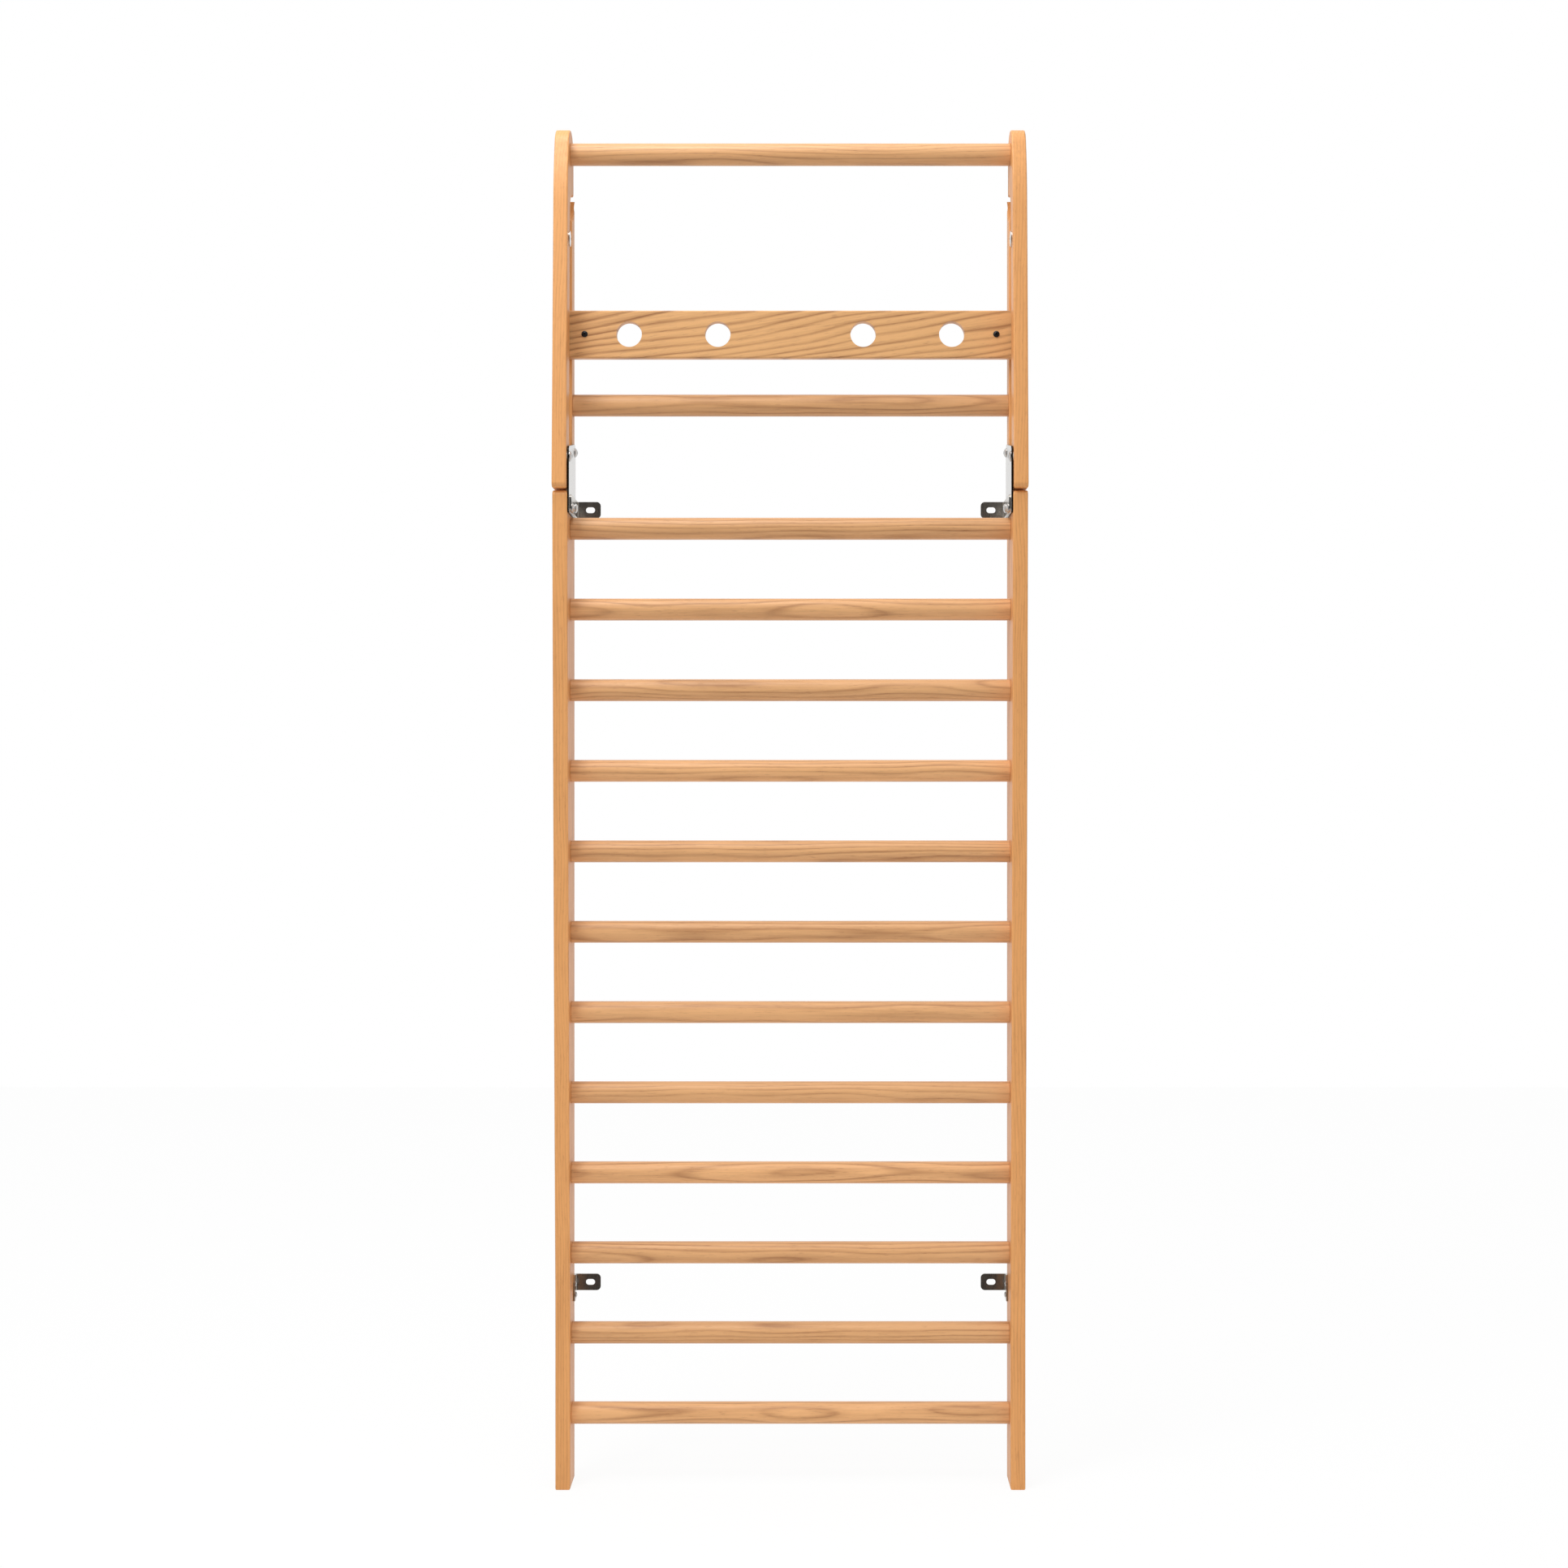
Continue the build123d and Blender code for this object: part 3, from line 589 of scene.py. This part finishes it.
def make_bolts(name, seats, tip, material, slot, body="wall_frame", **sizes):
    """A bolt at each (x, y, z) seat, one piece a side, heads to the middle and tips at x = tip."""
    for side, sign in zip(SIDES, (-1.0, 1.0)):
        shells = []
        for seat in seats:
            rings = bolt_rings(length=tip - seat[0], **sizes)
            shells.append((placed(rings, seat, sign), False))
        cad_node = f"{side}_{name}"
        new_piece(cad_node + "_detailed", shells, material, body, [cad_node])


zinc = metal_material("zinc_fasteners", (0.72, 0.71, 0.69, 1.0), (0.44, 0.44, 0.44, 1.0))
plate_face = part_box("right_hinge_plate")[0][0]
plate_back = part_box("right_hinge_plate")[1][0]
leg_face = plate_face - (plate_back - plate_face)
PLATE_BOLT_SEATS = (
    (leg_face, -0.102, 0.652),
    (leg_face, -0.046, 0.658),
    (plate_face, -0.024, 0.755),
)
make_bolts(
    "plate_bolts",
    PLATE_BOLT_SEATS,
    tip=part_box("right_plate_bolts")[1][0],
    recess=hexagon(0.005),
    recess_depth=SOCKET_DEPTH,
    pitch=0.00125,
    material=zinc,
    slot="zinc_fasteners",
    head_radius=0.008,
    head_height=0.005,
    rim=0.001,
    shank_radius=0.004,
    thread=0.0075,
)


# Plate nuts: zinc-plated hexagon nuts, chamfered on both faces by a 30 degree cone, and sunk in round
# pockets in the outer faces.
NUT_FACE = 0.97  # the round face over the flats
NUT_CHAMFER = math.radians(30.0)


def nut_rings(near, far, flats, bore):
    """Closed rings of a nut on the X axis: its bore, its round faces, and its hexagon less the cones."""
    angle = np.linspace(0.0, 2.0 * math.pi, ROUND_BOLT, endpoint=False)
    level = angle * 0.0
    outer = hexagon(flats)(angle)
    face = flats / 2.0 * NUT_FACE
    cone = (outer - face) * math.tan(NUT_CHAMFER)
    rows = (
        (level + near, level + bore),
        (level + near, level + face),
        (near + cone, outer),
        (far - cone, outer),
        (level + far, level + face),
        (level + far, level + bore),
    )
    return wrapped(rows)


def make_nuts(name, places, flats, bore):
    """A nut at each (y, z) place on both sides, as thick as the CAD nut."""
    low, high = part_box("right_" + name)
    rings = nut_rings(low[0], high[0], flats, bore)
    for side, sign in zip(SIDES, (-1.0, 1.0)):
        shells = [(placed(rings, (0.0, *place), sign), True) for place in places]
        cad_node = f"{side}_{name}"
        new_piece(cad_node + "_detailed", shells, zinc, "wall_frame", [cad_node])


make_nuts("plate_nuts", [seat[1:] for seat in PLATE_BOLT_SEATS], 0.013, 0.00405)


# Pivots: a larger button-head bolt through each hinge plate, with a nylon washer and a flanged nylon
# bush for the blade to turn on, and a nut in a pocket in the blade's outer face.
pivot_place = tuple(joint["pos_m"][1:])
make_bolts(
    "pivot_bolt",
    [(plate_face, *pivot_place)],
    tip=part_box("right_pivot_bolt")[1][0],
    recess=hexagon(0.006),
    recess_depth=SOCKET_DEPTH,
    pitch=0.0015,
    material=zinc,
    slot="zinc_fasteners",
    head_radius=0.009,
    head_height=0.005,
    rim=0.001,
    shank_radius=0.005,
    thread=0.0065,
)
make_nuts("pivot_nut", [pivot_place], 0.017, 0.00505)


def make_coating():
    """Moulded or blackened skin: fine noise gives an orange peel, and slow noise a change of tone."""
    inputs = {"Pale": "Color", "Dark": "Color", "Gloss": "Float"}
    outputs = {"Color": "Color", "Roughness": "Float", "Height": "Float"}
    tree, given, result = new_group("coating", inputs, outputs)
    place = add(tree, "TexCoord").outputs["Object"]
    peel = noise(tree, stretched(tree, place, 900.0, 900.0), 3.0)
    cloud = noise(tree, stretched(tree, place, 70.0, 70.0), 4.0)
    tree.links.new(blend_colours(tree, cloud, given["Dark"], given["Pale"]), result["Color"])
    rough = sum_up(tree, "MULTIPLY_ADD", cloud, 0.25, sum_up(tree, "SUBTRACT", 0.75, given["Gloss"]))
    tree.links.new(rough, result["Roughness"])
    tree.links.new(peel, result["Height"])
    return tree


coating = make_coating()


def coated_material(name, pale, dark, gloss, peel, **constants):
    """Nylon, rubber or blackened steel: the coating over a plain shader, its peel given in metres."""
    material, tree, shader = new_material(name, **constants)
    face = tree.nodes.new("ShaderNodeGroup")
    face.node_tree = coating
    for socket, value in (("Pale", pale), ("Dark", dark), ("Gloss", gloss)):
        face.inputs[socket].default_value = value
    tree.links.new(face.outputs["Color"], shader.inputs["Base Color"])
    tree.links.new(face.outputs["Roughness"], shader.inputs["Roughness"])
    bump(tree, shader, face.outputs["Height"], peel)
    return material


nylon = coated_material(
    "nylon_bearings",
    (0.80, 0.78, 0.72, 1.0),
    (0.70, 0.68, 0.62, 1.0),
    gloss=0.30,
    peel=0.00001,
    Subsurface_Weight=0.1,
)
finish_nodes(pair("pivot_bush") + pair("pivot_washer"), nylon)


# Stops: steel pins with rubber sleeves behind the blades' tails, and rubber buffers on the cross board
# that the closed blades lie against.
rubber = coated_material(
    "black_rubber",
    (0.030, 0.030, 0.030, 1.0),
    (0.014, 0.014, 0.014, 1.0),
    gloss=0.10,
    peel=0.00004,
)
finish_nodes(pair("stop_pin"), zinc)
finish_nodes(pair("stop_sleeve") + pair("closing_buffer"), rubber)


# Bracket screws: round-headed wood screws with a cross recess, through the lower brackets and through
# the angles behind the cross board.
SCREW_PLACES = {  # (y, z) of each screw
    "bracket_screws": ((-0.015, -0.660), (-0.013, -0.6795)),
    "board_bracket_screws": ((-0.021, 0.940), (-0.021, 0.960)),
}
for screw_name, screw_places in SCREW_PLACES.items():
    make_bolts(
        screw_name,
        [(plate_face, *place) for place in screw_places],
        tip=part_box("right_" + screw_name)[1][0],
        recess=cross(0.0012, 0.0022),
        recess_depth=0.0016,
        pitch=0.0022,
        material=zinc,
        slot="zinc_fasteners",
        head_radius=0.00475,
        head_height=0.003,
        rim=0.001,
        shank_radius=0.0025,
        thread=0.016,
    )


# Board bolts: two blackened button-head bolts through the cross board and the lips of its angles, with
# zinc-plated nuts behind.
BOARD_BOLT_PLACES = [(sign * 0.347, 0.950) for sign in (-1.0, 1.0)]
black_oxide = coated_material(
    "black_bolts",
    (0.030, 0.030, 0.032, 1.0),
    (0.010, 0.010, 0.011, 1.0),
    gloss=0.45,
    peel=0.00001,
    Metallic=0.6,
)


def facing_room(rings, place, seat_y):
    """Rings turned from the X axis onto the Y axis, their head side to the room, and moved to (x, z)."""
    turned = np.stack([rings[..., 1], rings[..., 0], rings[..., 2]], axis=-1)
    return turned + np.array([place[0], seat_y, place[1]])


board_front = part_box("cross_board")[0][1]
bolt_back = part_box("board_bolts")[1][1]
nut_front, nut_back = (corner[1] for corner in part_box("board_nuts"))
board_bolt = bolt_rings(
    head_radius=0.00525,
    head_height=0.0033,
    rim=0.001,
    shank_radius=0.003,
    length=bolt_back - board_front,
    recess=hexagon(0.004),
    recess_depth=0.0018,
    pitch=0.001,
    thread=0.012,
)
board_nut = nut_rings(nut_front, nut_back, 0.010, 0.00305)
new_piece(
    "board_bolts_detailed",
    [(facing_room(board_bolt, place, board_front), False) for place in BOARD_BOLT_PLACES],
    black_oxide,
    "wall_frame",
    ["board_bolts"],
)
new_piece(
    "board_nuts_detailed",
    [(facing_room(board_nut, place, 0.0), True) for place in BOARD_BOLT_PLACES],
    zinc,
    "wall_frame",
    ["board_nuts"],
)


# Anchor discs: thick stainless discs with a spigot pressed into the inner faces of the blades.
disc_steel = metal_material("steel_discs", (0.86, 0.85, 0.83, 1.0), (0.58, 0.57, 0.56, 1.0))
disc_low, disc_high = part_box("right_anchor_disc")
make_bolts(
    "anchor_disc",
    [(blade_x, (disc_low[1] + disc_high[1]) / 2.0, (disc_low[2] + disc_high[2]) / 2.0)],
    tip=disc_high[0],
    recess=hexagon(0.005),
    recess_depth=0.0018,
    pitch=0.0015,
    material=disc_steel,
    slot="steel_discs",
    body="pull_up_frame",
    head_radius=0.013,
    head_height=0.003,
    rim=0.0022,
    shank_radius=0.004,
    thread=0.006,
)


# Studio: a plain pale floor, soft light all round that is dimmer low down, a large soft lamp high up on
# the left, one above the top bar and a weak one low down. The steel doesn't mirror the floor. It mirrors
# a white backdrop behind and a dark room in front.
FLOOR_REACH = 5.0
FLOOR_GLOW = 0.9  # share of plain white in what the camera sees of the floor
floor_z = cad_box[0][2]
floor_mesh = bpy.data.meshes.new("floor")
corners = [(x * FLOOR_REACH, y * FLOOR_REACH, floor_z) for x, y in ((-1, -1), (1, -1), (1, 1), (-1, 1))]
floor_mesh.from_pydata(corners, [], [(0, 1, 2, 3)])
floor = bpy.data.objects.new("floor", floor_mesh)
bpy.context.collection.objects.link(floor)
floor_material, tree, floor_shader = new_material("floor", Roughness=0.9)
floor_shader.inputs["Base Color"].default_value = (0.80, 0.80, 0.80, 1.0)
glow = add(tree, "Emission", {"Color": (1.0, 1.0, 1.0, 1.0), "Strength": 1.025})
sight = sum_up(tree, "MULTIPLY", add(tree, "LightPath").outputs["Is Camera Ray"], FLOOR_GLOW)
seen = add(tree, "MixShader", (sight, floor_shader.outputs[0], glow.outputs[0]))
tree.links.new(seen.outputs[0], tree.nodes["Material Output"].inputs["Surface"])
floor_mesh.materials.append(floor_material)
floor.visible_glossy = False

world = bpy.data.worlds.new("light_tent")
bpy.context.scene.world = world
world.use_nodes = True
tree = world.node_tree
direction = add(tree, "SeparateXYZ", (add(tree, "TexCoord").outputs["Generated"],)).outputs
upward = sum_up(tree, "MULTIPLY_ADD", direction[2], 0.5, 0.5)
backward = sum_up(tree, "MULTIPLY_ADD", direction[1], 0.5, 0.5)
tent = ramp(tree, upward, ((0.35, 0.36), (0.75, 0.74)))
room = ramp(tree, backward, ((0.03, 0.04), (0.16, 0.30), (0.52, 1.0)))
path = add(tree, "LightPath").outputs
shade = blend_colours(tree, path["Is Glossy Ray"], tent, room)
shade = blend_colours(tree, path["Is Camera Ray"], shade, (1.0, 1.0, 1.0, 1.0))
tree.links.new(shade, tree.nodes["Background"].inputs["Color"])


def make_lamp(name, place, aim, size, power):
    """Square area lamp at a place, turned to its aim."""
    data = bpy.data.lights.new(name, "AREA")
    data.size = size
    data.energy = power
    lamp = bpy.data.objects.new(name, data)
    bpy.context.collection.objects.link(lamp)
    away = np.array(place) - np.array(aim)
    lamp.location = place
    flat = math.hypot(away[0], away[1])
    lamp.rotation_euler = (math.atan2(flat, away[2]), 0.0, math.atan2(away[1], away[0]) + math.pi / 2.0)
    lamp.visible_camera = False
    return lamp


make_lamp("key_lamp", (-1.4, -2.0, 3.0), (0.0, 0.0, 0.5), 1.1, 43.0)
make_lamp("top_lamp", (-0.3, -0.7, 2.9), (0.0, -0.05, 1.2), 0.9, 20.0)
low_lamp = make_lamp("low_lamp", (0.1, -1.5, -0.85), (0.0, 0.0, -0.75), 0.6, 4.5)
low_lamp.visible_glossy = False
